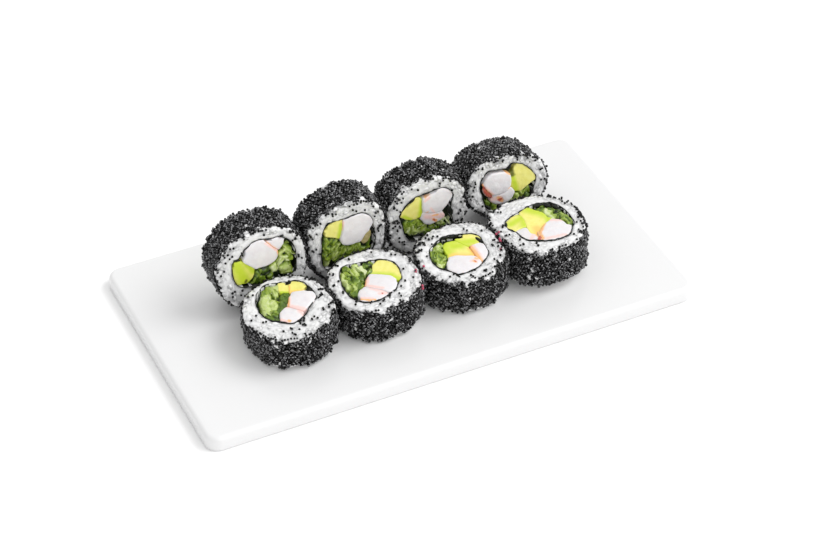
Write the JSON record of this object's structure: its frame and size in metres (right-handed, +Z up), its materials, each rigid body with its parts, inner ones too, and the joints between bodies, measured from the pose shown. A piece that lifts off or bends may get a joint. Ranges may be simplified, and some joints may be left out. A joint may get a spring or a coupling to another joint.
{
  "type": "uramaki roll on its plate",
  "caption": "Cut pieces of inside-out sushi roll coated in black roe, served in two rows on a rectangular white plate.",
  "frame": {"origin": "middle of the plate's underside", "axes": "+X along the plate's length, +Y across it towards the row of standing pieces, +Z up"},
  "size_m": [0.26, 0.138, 0.0579],
  "materials": {
    "porcelain": "white glaze, glossy, with a soft rounded edge",
    "roe": "black roe beads, moist and slightly shiny",
    "rice": "cooked short-grain rice, sticky, translucent white",
    "seaweed": "dark green-black dried seaweed, softened and slightly wrinkled",
    "shrimp": "cooked shrimp, white flesh with pink and orange edges",
    "avocado": "ripe avocado, yellow going to green at the rim",
    "sliver": "a thin tan slice, moist",
    "greens": "leafy greens, crumpled, light and dark green"
  },
  "bodies": {
    "root": {"back_1.avocado": "avocado", "back_1.greens": "greens", "back_1.rice": "rice", "back_1.roe": "roe", "back_1.seaweed": "seaweed", "back_1.shrimp_a": "shrimp", "back_1.shrimp_b": "shrimp", "back_2.avocado": "avocado", "back_2.greens": "greens", "back_2.rice": "rice", "back_2.roe": "roe", "back_2.seaweed": "seaweed", "back_2.shrimp": "shrimp", "back_2.sliver": "sliver", "back_3.avocado": "avocado", "back_3.greens": "greens", "back_3.rice": "rice", "back_3.roe": "roe", "back_3.seaweed": "seaweed", "back_3.shrimp_a": "shrimp", "back_3.shrimp_b": "shrimp", "back_4.avocado": "avocado", "back_4.greens": "greens", "back_4.rice": "rice", "back_4.roe": "roe", "back_4.seaweed": "seaweed", "back_4.shrimp_a": "shrimp", "back_4.shrimp_b": "shrimp", "front_1.avocado_a": "avocado", "front_1.avocado_b": "avocado", "front_1.greens": "greens", "front_1.rice": "rice", "front_1.roe": "roe", "front_1.seaweed": "seaweed", "front_1.shrimp_a": "shrimp", "front_1.shrimp_b": "shrimp", "front_2.avocado": "avocado", "front_2.greens": "greens", "front_2.rice": "rice", "front_2.roe": "roe", "front_2.seaweed": "seaweed", "front_2.shrimp_a": "shrimp", "front_2.shrimp_b": "shrimp", "front_3.avocado_a": "avocado", "front_3.avocado_b": "avocado", "front_3.greens": "greens", "front_3.rice": "rice", "front_3.roe": "roe", "front_3.seaweed": "seaweed", "front_3.shrimp_a": "shrimp", "front_3.shrimp_b": "shrimp", "front_4.avocado_a": "avocado", "front_4.avocado_b": "avocado", "front_4.greens": "greens", "front_4.rice": "rice", "front_4.roe": "roe", "front_4.seaweed": "seaweed", "front_4.shrimp_a": "shrimp", "front_4.shrimp_b": "shrimp", "plate": "porcelain"}
  },
  "joints": []
}
